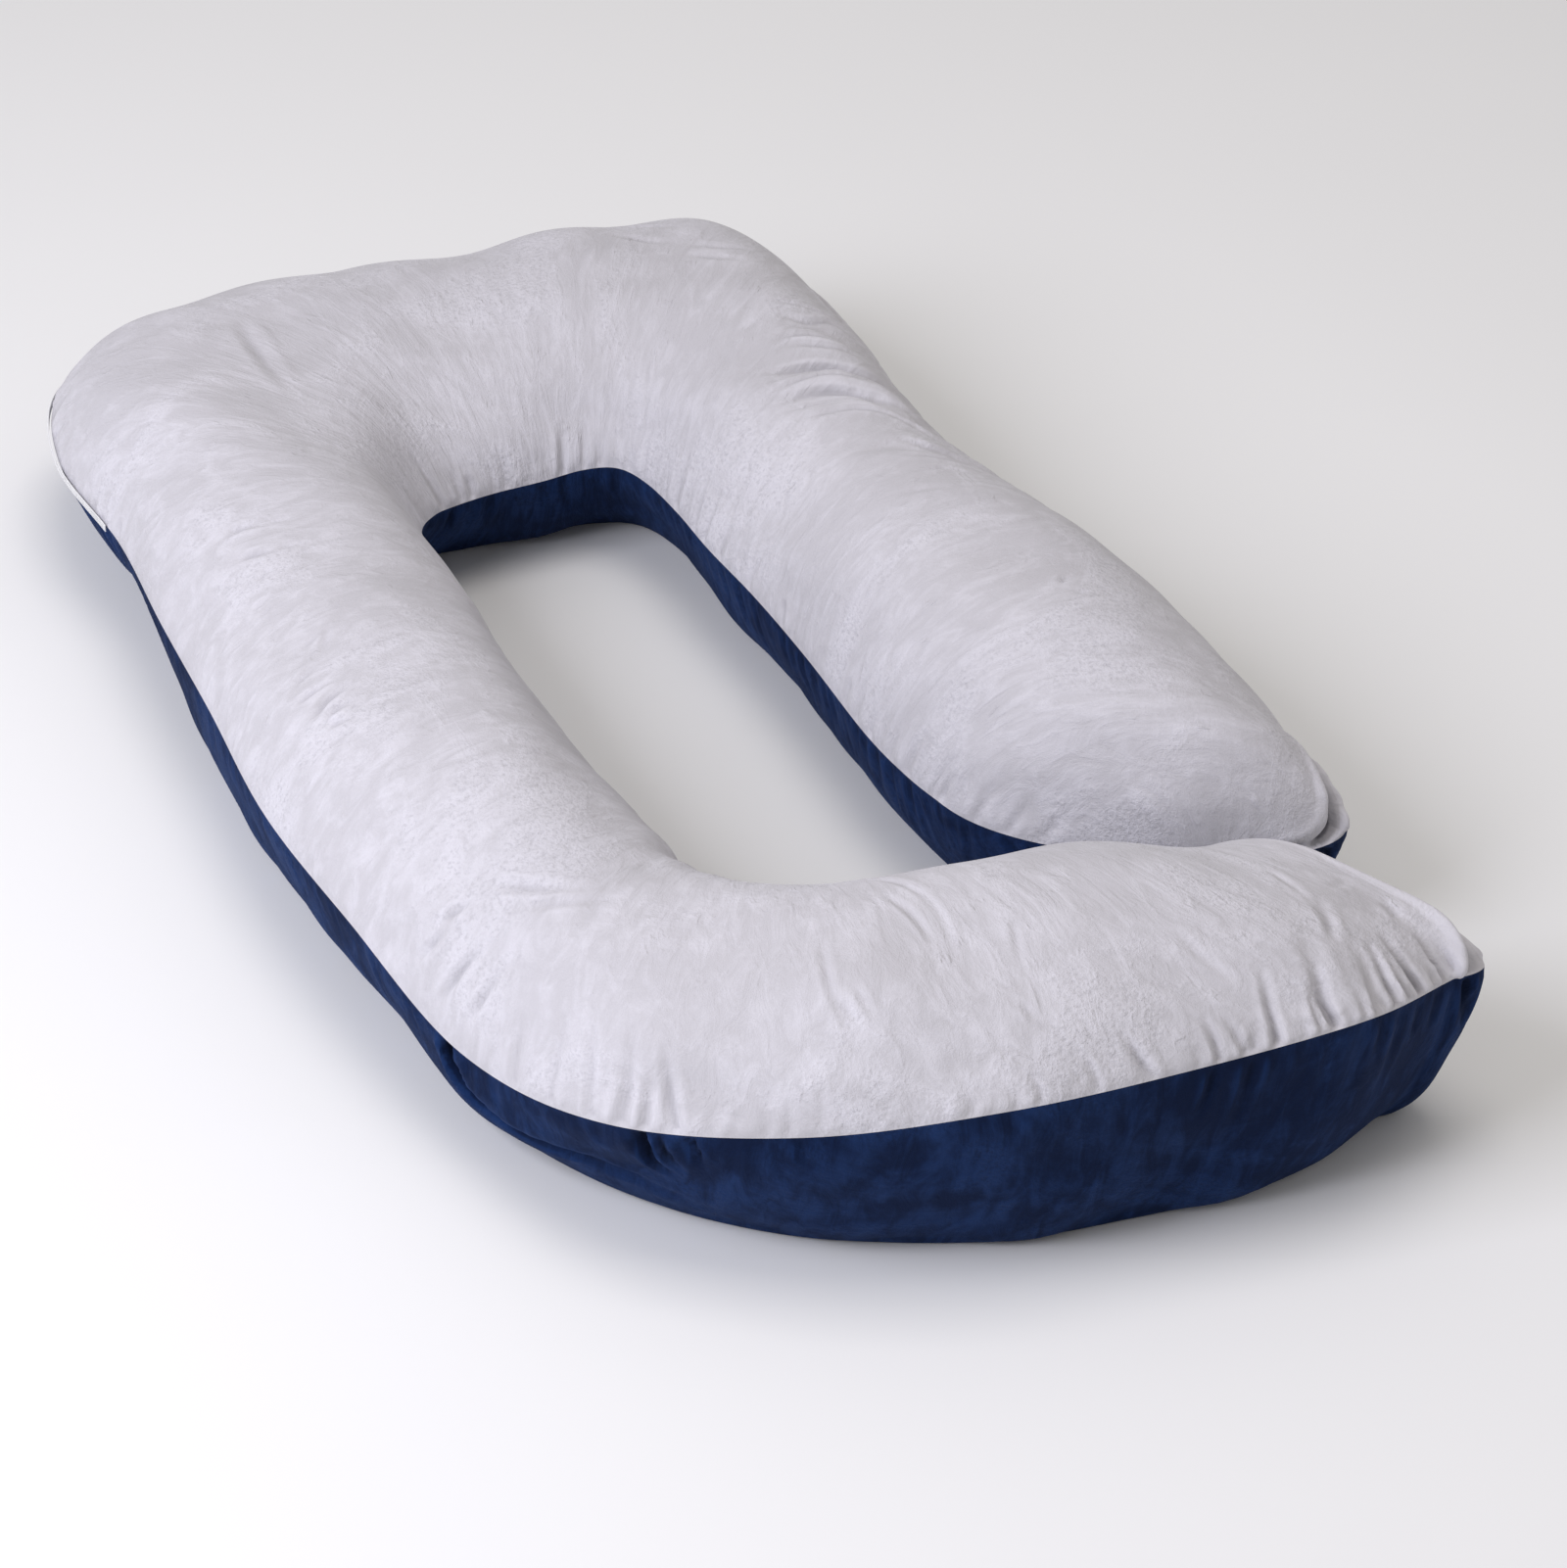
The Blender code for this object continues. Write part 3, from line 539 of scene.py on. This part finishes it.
def coordinates(mesh):
    values = np.empty(len(mesh.vertices) * 3)
    mesh.vertices.foreach_get("co", values)
    return values.reshape(-1, 3)


def weigh(obj, name, weights):
    """A vertex group with a weight for each point, rounded to one of a few steps."""
    group = obj.vertex_groups.new(name=name)
    steps = np.round(weights * WEIGHT_STEPS).astype(int)
    for step in np.unique(steps):
        group.add(np.nonzero(steps == step)[0].tolist(), float(step) / WEIGHT_STEPS, "REPLACE")


def evened_along(values, reach):
    """Each row of the grid evened out along the tube."""
    padded = np.pad(values, ((reach, reach), (0, 0), (0, 0)), mode="edge")
    total = np.cumsum(padded, axis=0)
    total = np.concatenate([np.zeros_like(total[:1]), total])
    return (total[2 * reach + 1:] - total[:-2 * reach - 1]) / (2 * reach + 1)


def fill_out(start, from_seam, upper):
    """Blender's cloth simulation: the filling pushes, and the spare cloth along the seams buckles."""
    cuts, rows = start.shape[:2]
    obj = add_mesh("cloth", start.reshape(-1, 3), grid_quads(cuts, rows, upper))
    held = np.zeros((cuts, rows))
    held[[0, -1], :] = 1
    held[:, [0, -1]] = 1
    if not upper:
        held[start[..., 2] < HELD_HEIGHT] = 1
    weigh(obj, "held", held.ravel())
    spare = np.clip(1 - from_seam / SPARE_REACH, 0, 1)
    spare[:, rows // 2 + 1:] *= INNER_SPARE
    weigh(obj, "spare", spare.ravel())
    cloth = obj.modifiers.new("cloth", "CLOTH")
    settings = cloth.settings
    settings.quality = 4
    settings.mass = 0.15
    settings.air_damping = 2
    settings.tension_stiffness = 12
    settings.compression_stiffness = 12
    settings.shear_stiffness = 4
    settings.bending_stiffness = 0.05
    settings.vertex_group_mass = "held"
    settings.vertex_group_shrink = "spare"
    settings.shrink_min = 0
    settings.shrink_max = -SPARE_CLOTH
    settings.use_pressure = True
    settings.uniform_pressure_force = PRESSURE
    settings.effector_weights.gravity = 0
    cloth.collision_settings.use_collision = False
    cloth.point_cache.frame_start = 1
    cloth.point_cache.frame_end = FRAMES
    for number in range(1, FRAMES + 1):
        bpy.context.scene.frame_set(number)
    only(obj)
    bpy.ops.object.modifier_apply(modifier="cloth")
    bpy.context.scene.frame_set(1)
    moved = coordinates(obj.data).reshape(start.shape) - start
    bpy.data.objects.remove(obj)
    moved -= (1 - SWELLING_KEPT) * evened_along(moved, EVENED_OVER)
    distance = np.linalg.norm(moved, axis=-1, keepdims=True)
    return start + moved * (MOST_MOVE * np.tanh(distance / MOST_MOVE) / np.maximum(distance, 1e-9))


def made_finer(grid, sizes):
    """The grid with as many points each way as sizes says, on smooth curves through its own."""
    for size in sizes:
        rows = spline(grid.reshape(len(grid), -1), np.linspace(0, len(grid) - 1, size))
        grid = rows.reshape(size, *grid.shape[1:]).swapaxes(0, 1)
    return grid


def closed_faces(cuts, rows, upper):
    """The cloth's faces, and those that close it across at the level of the seam, inside the pillow."""
    number = np.arange(cuts * rows).reshape(cuts, rows)
    outer, inner = number[:, 0].tolist(), number[:, -1].tolist()
    inside = [number[0, :].tolist(), number[-1, ::-1].tolist()]
    for a, b, c, d in zip(outer[:-1], outer[1:], inner[1:], inner[:-1]):
        inside += [[a, d, c], [a, c, b]]
    if upper:
        inside = [face[::-1] for face in inside]
    return grid_quads(cuts, rows, upper) + inside


def cloth_places(points):
    """Each point's place in the cloth in metres, along the tube and across it, for the finishes."""
    cuts, rows = points.shape[:2]
    along = lengths_along(points[:, rows // 2, :2])
    across = np.linspace(-HALF_WIDTH, HALF_WIDTH, rows)
    return np.stack(np.meshgrid(along, across, indexing="ij"), axis=-1).reshape(-1, 2)


def make_panel(name, upper, finish):
    """One plush panel with its half of the filling, which takes the place of its solid."""
    form, inwards, from_seam = tube_form(upper)
    depth = fold_depths(form, from_seam, [fold[2:] for fold in FOLDS if fold[1] == name])
    depth += SEAM_TUCK * np.clip(1 - from_seam * ROWS, 0, 1)
    start = form + inwards * depth[..., None]
    start = fill_out(start, from_seam, upper)
    points = made_finer(start, FINISHED[name])
    from_seam = made_finer(from_seam[..., None], FINISHED[name])[..., 0]
    creases = [crease[2:] for crease in CREASES if crease[1] == name] + gather_puckers(name)
    hollows = fold_depths(points, from_seam, creases)
    relief = lumps(points) * np.clip(from_seam * 4, 0, 1) - hollows
    points = points + outwards(points, upper) * relief[..., None]
    if not upper:
        lying = made_finer(form, FINISHED[name])
        points = lying + (points - lying) * np.clip(lying[..., 2:] / LYING_HEIGHT, 0, 1)
    points[..., 2] = np.maximum(points[..., 2], 0)
    cuts, rows = points.shape[:2]
    obj = add_mesh(name + "_plush", points.reshape(-1, 3), closed_faces(cuts, rows, upper))
    layer = obj.data.uv_layers.new(name="cloth")
    corners = np.empty(len(obj.data.loops), dtype=np.int32)
    obj.data.loops.foreach_get("vertex_index", corners)
    layer.data.foreach_set("uv", cloth_places(points)[corners].ravel())
    # Each point's crease depth, which drives the painted shade in the hollows and the painted highlight on
    # the ridges
    crease_shading = obj.data.attributes.new("crease_shading", "FLOAT", "POINT")
    crease_shading.data.foreach_set("value", np.clip(hollows / CREASE_SHADE_DEPTH, -1, 3).ravel())
    only(obj)
    bpy.ops.object.shade_smooth_by_angle(angle=math.radians(60))
    obj.data.materials.append(finish)
    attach(obj, "root")
    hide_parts(name)
    return obj


def zip_route(out):
    """Points along the zip's stretch of the outer seam, moved out of the pillow, and its headings there."""
    rows = station_rows()
    places = np.linspace(ZIP_START, ZIP_END, ZIP_STEPS + 1)
    cut = spline(rows, places)
    heading = np.gradient(cut[:, 0:2], axis=0)
    heading /= np.linalg.norm(heading, axis=1, keepdims=True)
    away = np.stack([-heading[:, 1], heading[:, 0]], axis=1)
    route = np.column_stack([cut[:, 0:2] + away * out, cut[:, 4]])
    return route, heading


def make_tape():
    """The woven tape: one upright edge of a small plane, extruded along the seam, and thickened."""
    route, heading = zip_route(TAPE_OUT)
    turn = math.atan2(heading[0, 1], heading[0, 0])
    bpy.ops.object.select_all(action="DESELECT")
    bpy.ops.mesh.primitive_plane_add(size=ZIP_HEIGHT, location=route[0], rotation=(math.pi / 2, 0, turn))
    tape = bpy.context.object
    tape.name = "zip_tape"
    bpy.ops.object.transform_apply(location=True, rotation=True, scale=True)
    bpy.ops.object.mode_set(mode="EDIT")
    bpy.ops.mesh.select_all(action="DESELECT")
    bpy.ops.mesh.select_mode(type="VERT")
    shape = bmesh.from_edit_mesh(tape.data)
    for vert in shape.verts:
        ahead = (vert.co.x - route[0, 0]) * heading[0, 0] + (vert.co.y - route[0, 1]) * heading[0, 1]
        vert.select = ahead > 0
    shape.select_flush(True)
    bmesh.update_edit_mesh(tape.data)
    half = ZIP_HEIGHT / 2 * Vector((*heading[0], 0))
    bpy.ops.transform.translate(value=Vector(route[1] - route[0]) - half)
    for step in np.diff(route[1:], axis=0):
        bpy.ops.mesh.extrude_region_move(TRANSFORM_OT_translate={"value": step})
    bpy.ops.object.mode_set(mode="OBJECT")
    thick = tape.modifiers.new("thick", "SOLIDIFY")
    thick.thickness = TAPE_THICKNESS
    thick.offset = 0
    bpy.ops.object.modifier_apply(modifier="thick")
    return tape


def make_block(name, size, bevel):
    """A block with rounded edges, at the origin."""
    bpy.ops.object.select_all(action="DESELECT")
    bpy.ops.mesh.primitive_cube_add(size=1)
    block = bpy.context.object
    block.name = name
    bpy.ops.transform.resize(value=size)
    bpy.ops.object.transform_apply(location=True, rotation=True, scale=True)
    bpy.ops.object.mode_set(mode="EDIT")
    bpy.ops.mesh.select_all(action="SELECT")
    bpy.ops.mesh.bevel(offset=bevel, segments=1)
    bpy.ops.object.mode_set(mode="OBJECT")
    return block


def place_block(block, point, heading):
    block.location = point
    block.rotation_euler = (0, 0, math.atan2(heading[1], heading[0]))
    return block


def make_teeth():
    """The closed coil: one bevelled tooth, copied along the middle of the tape."""
    tooth = make_block("zip_tooth", TOOTH_SIZE, TOOTH_EDGE)
    route, heading = zip_route(TOOTH_OUT)
    length = lengths_along(route)
    teeth = []
    for at in np.arange(BARE_TAPE, length[-1] - BARE_TAPE, TOOTH_PITCH):
        copy = tooth.copy()
        copy.data = tooth.data.copy()
        bpy.context.scene.collection.objects.link(copy)
        point = [np.interp(at, length, route[:, axis]) for axis in range(3)]
        ahead = [np.interp(at, length, heading[:, axis]) for axis in range(2)]
        teeth.append(place_block(copy, point, ahead))
    bpy.data.objects.remove(tooth)
    return teeth


def make_slider():
    """The slider at the zip's far end, away from the camera, with its puller hanging from it."""
    route, heading = zip_route(SLIDER_OUT)
    point, ahead = route[-2], heading[-2]
    body = place_block(make_block("zip_slider", SLIDER_SIZE, SLIDER_EDGE), point, ahead)
    hanging = point + np.array([-ahead[1] * PULLER_OUT, ahead[0] * PULLER_OUT, -PULLER_DROP])
    puller = place_block(make_block("zip_puller", PULLER_SIZE, PULLER_EDGE), hanging, ahead)
    return [body, puller]


def make_zip():
    """The whole zip as one white piece, which takes the place of its solid."""
    pieces = [make_tape()] + make_teeth() + make_slider()
    bpy.ops.object.select_all(action="DESELECT")
    for piece in pieces:
        piece.select_set(True)
    bpy.context.view_layer.objects.active = pieces[0]
    bpy.ops.object.join()
    closure = bpy.context.object
    closure.name = "zip_closure"
    only(closure)
    bpy.ops.object.transform_apply(location=True, rotation=True, scale=True)
    bpy.ops.object.mode_set(mode="EDIT")
    bpy.ops.mesh.select_all(action="SELECT")
    bpy.ops.mesh.normals_make_consistent(inside=False)
    bpy.ops.object.mode_set(mode="OBJECT")
    closure.data.materials.clear()
    closure.data.materials.append(zip_finish())
    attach(closure, "root")
    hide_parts("zip")


class Value:
    """A number that varies over a surface. Each sum in Python adds its Math node."""

    def __init__(self, finish, socket):
        self.finish = finish
        self.socket = socket

    def sum(self, operation, first, second):
        return self.finish.node("ShaderNodeMath", {"operation": operation}, {0: first, 1: second})

    def __add__(self, other):
        return self.sum("ADD", self, other)

    def __radd__(self, other):
        return self.sum("ADD", other, self)

    def __sub__(self, other):
        return self.sum("SUBTRACT", self, other)

    def __rsub__(self, other):
        return self.sum("SUBTRACT", other, self)

    def __mul__(self, other):
        return self.sum("MULTIPLY", self, other)

    def size(self):
        return self.sum("ABSOLUTE", self, 0.0)


class Finish:
    """A material made of nodes on one Principled shader."""

    def __init__(self, name):
        self.material = bpy.data.materials.new(name)
        self.material.use_nodes = True
        self.tree = self.material.node_tree
        self.shader = self.tree.nodes["Principled BSDF"]

    def node(self, kind, settings=None, inputs=None, output=0):
        """Adds a node: its settings first, then the values or links of its sockets."""
        node = self.tree.nodes.new(kind)
        for name, value in (settings or {}).items():
            setattr(node, name, value)
        for name, value in (inputs or {}).items():
            self.feed(value, node.inputs[name])
        return Value(self, node.outputs[output])

    def feed(self, value, socket):
        if isinstance(value, Value):
            self.tree.links.new(value.socket, socket)
        else:
            socket.default_value = value

    def on_shader(self, **inputs):
        for name, value in inputs.items():
            self.feed(value, self.shader.inputs[name.replace("_", " ")])

    def on_object(self):
        return self.node("ShaderNodeTexCoord", output="Object")

    def on_cloth(self, scale):
        """Places in the cloth, stretched along the tube and across it."""
        place = self.node("ShaderNodeUVMap", {"uv_map": "cloth"})
        return self.node("ShaderNodeMapping", inputs={"Vector": place, "Scale": scale})

    def noise(self, place, scale, detail=2.0, roughness=0.5, distortion=0.0):
        inputs = {"Vector": place, "Scale": scale, "Detail": detail, "Roughness": roughness}
        inputs["Distortion"] = distortion
        return self.node("ShaderNodeTexNoise", inputs=inputs)

    def step(self, value, low, high):
        """0 below low and 1 above high, softly."""
        inputs = {"Value": value, "From Min": low, "From Max": high}
        return self.node("ShaderNodeMapRange", {"interpolation_type": "SMOOTHSTEP"}, inputs)

    def mix(self, factor, first, second):
        settings = {"data_type": "RGBA", "clamp_factor": True}
        return self.node("ShaderNodeMix", settings, {0: factor, 6: first, 7: second}, output=2)

    def bump(self, height, distance, normal=None):
        inputs = {"Height": height, "Distance": distance, "Strength": 1.0}
        if normal:
            inputs["Normal"] = normal
        return self.node("ShaderNodeBump", inputs=inputs)


def plush(name, deep_groove_shade, dark, plain, light, sheen, tint):
    """Short plush: brushed one way in some places and the other way in others, with a grain and marks,
    painted shade in its creases and painted highlight on the ridges beside them.
    """
    finish = Finish(name)
    place = finish.on_object()
    brushed = finish.noise(place, 5.0, detail=6, roughness=0.66, distortion=0.9)
    strokes = finish.noise(finish.on_cloth((60, 22, 1)), 1.0, detail=4, roughness=0.65, distortion=0.8)
    patches = finish.step(brushed * 0.6 + strokes * 0.4, 0.41, 0.62)
    grain = finish.noise(place, 230, detail=3, roughness=0.6)
    pile = finish.noise(place, 900, detail=2, roughness=0.7)
    clouds = finish.noise(place, 2.2, detail=4, roughness=0.55)
    wandering = (finish.noise(finish.on_cloth((62, 34, 1)), 1.0, distortion=0.3) - 0.5).size()
    marks = finish.step(wandering, 0.09, 0.0) * finish.step(finish.noise(place, 36, detail=3), 0.56, 0.72)
    # The crease depth at each point, for the painted crease shade and ridge highlight
    crease_shading = finish.node("ShaderNodeAttribute", {"attribute_name": "crease_shading"}, output="Fac")
    base = finish.mix(patches, plain, light)
    base = finish.mix(finish.step(clouds, 0.46, 0.68) * 0.18, base, dark)
    fleck = finish.step(grain, 0.52, 0.66) * finish.step(brushed, 0.50, 0.60)
    base = finish.mix(fleck * 0.50, base, light)
    base = finish.mix(finish.step(grain, 0.50, 0.34) * finish.step(brushed, 0.50, 0.60) * 0.40, base, dark)
    base = finish.mix(finish.step(pile, 0.30, 0.62) * 0.12, base, dark)
    # Painted shade in the creases, near black in the deepest grooves, and painted highlight on the ridges
    # beside them
    base = finish.mix(finish.step(crease_shading, 0.15, 0.95) * 0.75, base, dark)
    base = finish.mix(finish.step(crease_shading, 1.7, 2.4) * 0.8, base, deep_groove_shade)
    base = finish.mix(finish.step(crease_shading * -1, 0.05, 0.35) * 0.6, base, light)
    grainy = grain * (finish.step(brushed, 0.48, 0.60) * 0.8 + 0.2)
    normal = finish.bump(strokes, 0.0020)
    normal = finish.bump(marks, 0.0006, normal)
    normal = finish.bump(grainy, 0.0014, normal)
    normal = finish.bump(pile, 0.0004, normal)
    finish.on_shader(Base_Color=base, Roughness=0.95 - patches * 0.15, Normal=normal)
    finish.on_shader(Sheen_Weight=sheen, Sheen_Roughness=0.35, Sheen_Tint=tint, Specular_IOR_Level=0.15)
    return finish.material


def zip_finish():
    """White woven tape, with the finer lines of its weave."""
    finish = Finish("zip_white_woven")
    place = finish.on_object()
    weave = finish.node("ShaderNodeTexWave", {"bands_direction": "Z"}, {"Vector": place, "Scale": 420})
    worn = finish.noise(place, 60, detail=3)
    base = finish.mix(worn, (0.80, 0.80, 0.80, 1), (0.90, 0.90, 0.90, 1))
    finish.on_shader(Base_Color=base, Roughness=0.6 + worn * 0.2, Normal=finish.bump(weave, 0.0002))
    return finish.material


def floor_finish():
    """A pale studio sweep."""
    finish = Finish("studio_floor")
    cloud = finish.noise(finish.on_object(), 1.5, detail=2)
    pale = finish.mix(cloud, (0.90, 0.90, 0.90, 1), (0.92, 0.92, 0.92, 1))
    finish.on_shader(Base_Color=pale, Roughness=0.9)
    return finish.material


def make_floor():
    bpy.ops.object.select_all(action="DESELECT")
    bpy.ops.mesh.primitive_plane_add(size=30, location=(0, 0, -0.0005))
    floor = bpy.context.object
    floor.name = "floor"
    bpy.ops.object.transform_apply(location=True)
    floor.data.materials.append(floor_finish())


def add_light(name, place, size, power, colour):
    data = bpy.data.lights.new(name, "AREA")
    data.size = size
    data.energy = power
    data.color = colour
    light = bpy.data.objects.new(name, data)
    light.location = place
    light.rotation_euler = (Vector((0, 0, 0.1)) - Vector(place)).to_track_quat("-Z", "Y").to_euler()
    bpy.context.scene.collection.objects.link(light)


def add_camera():
    """The photograph's view: from the foot end, a little to the left and well above."""
    azimuth, elevation, distance = math.radians(-25.5), math.radians(36), 4.37
    target = Vector((-PLAN_MIDDLE[0], -PLAN_MIDDLE[1], 0.12))
    back = Vector((
        math.sin(azimuth) * math.cos(elevation),
        -math.cos(azimuth) * math.cos(elevation),
        math.sin(elevation),
    ))
    data = bpy.data.cameras.new("camera")
    data.lens = 105
    data.sensor_width = 36
    camera = bpy.data.objects.new("camera", data)
    camera.location = target + back * distance
    camera.rotation_euler = (-back).to_track_quat("-Z", "Y").to_euler()
    bpy.context.scene.collection.objects.link(camera)
    bpy.context.scene.camera = camera


def light_the_studio():
    add_light("window left", (-3.3, -0.6, 2.8), 2.4, 130, (0.885, 0.895, 1.0))
    add_light("softbox above", (0.5, -0.3, 6.3), 3.2, 107, (1.0, 0.95, 0.91))
    world = bpy.data.worlds.new("studio")
    world.use_nodes = True
    background = world.node_tree.nodes["Background"]
    background.inputs["Color"].default_value = (1.0, 0.98, 0.97, 1)
    background.inputs["Strength"].default_value = 0.36
    bpy.context.scene.world = world
    bpy.context.scene.view_settings.view_transform = "Standard"


GREY = plush(
    "silver_grey_plush",
    # near-black painted shade for the deepest grooves
    deep_groove_shade=(0.13, 0.125, 0.15, 1),
    dark=(0.44, 0.43, 0.46, 1),
    plain=(0.585, 0.570, 0.602, 1),
    light=(0.71, 0.695, 0.745, 1),
    sheen=0.30,
    tint=(1, 1, 1, 1),
)
NAVY = plush(
    "navy_plush",
    # near-black painted shade for the deepest grooves
    deep_groove_shade=(0.0005, 0.002, 0.008, 1),
    dark=(0.0015, 0.005, 0.019, 1),
    plain=(0.003, 0.0105, 0.043, 1),
    light=(0.009, 0.032, 0.118, 1),
    sheen=0.06,
    tint=(0.12, 0.32, 1.0, 1),
)
make_panel("top_panel", True, GREY)
make_panel("bottom_panel", False, NAVY)
make_zip()
make_floor()
light_the_studio()
add_camera()
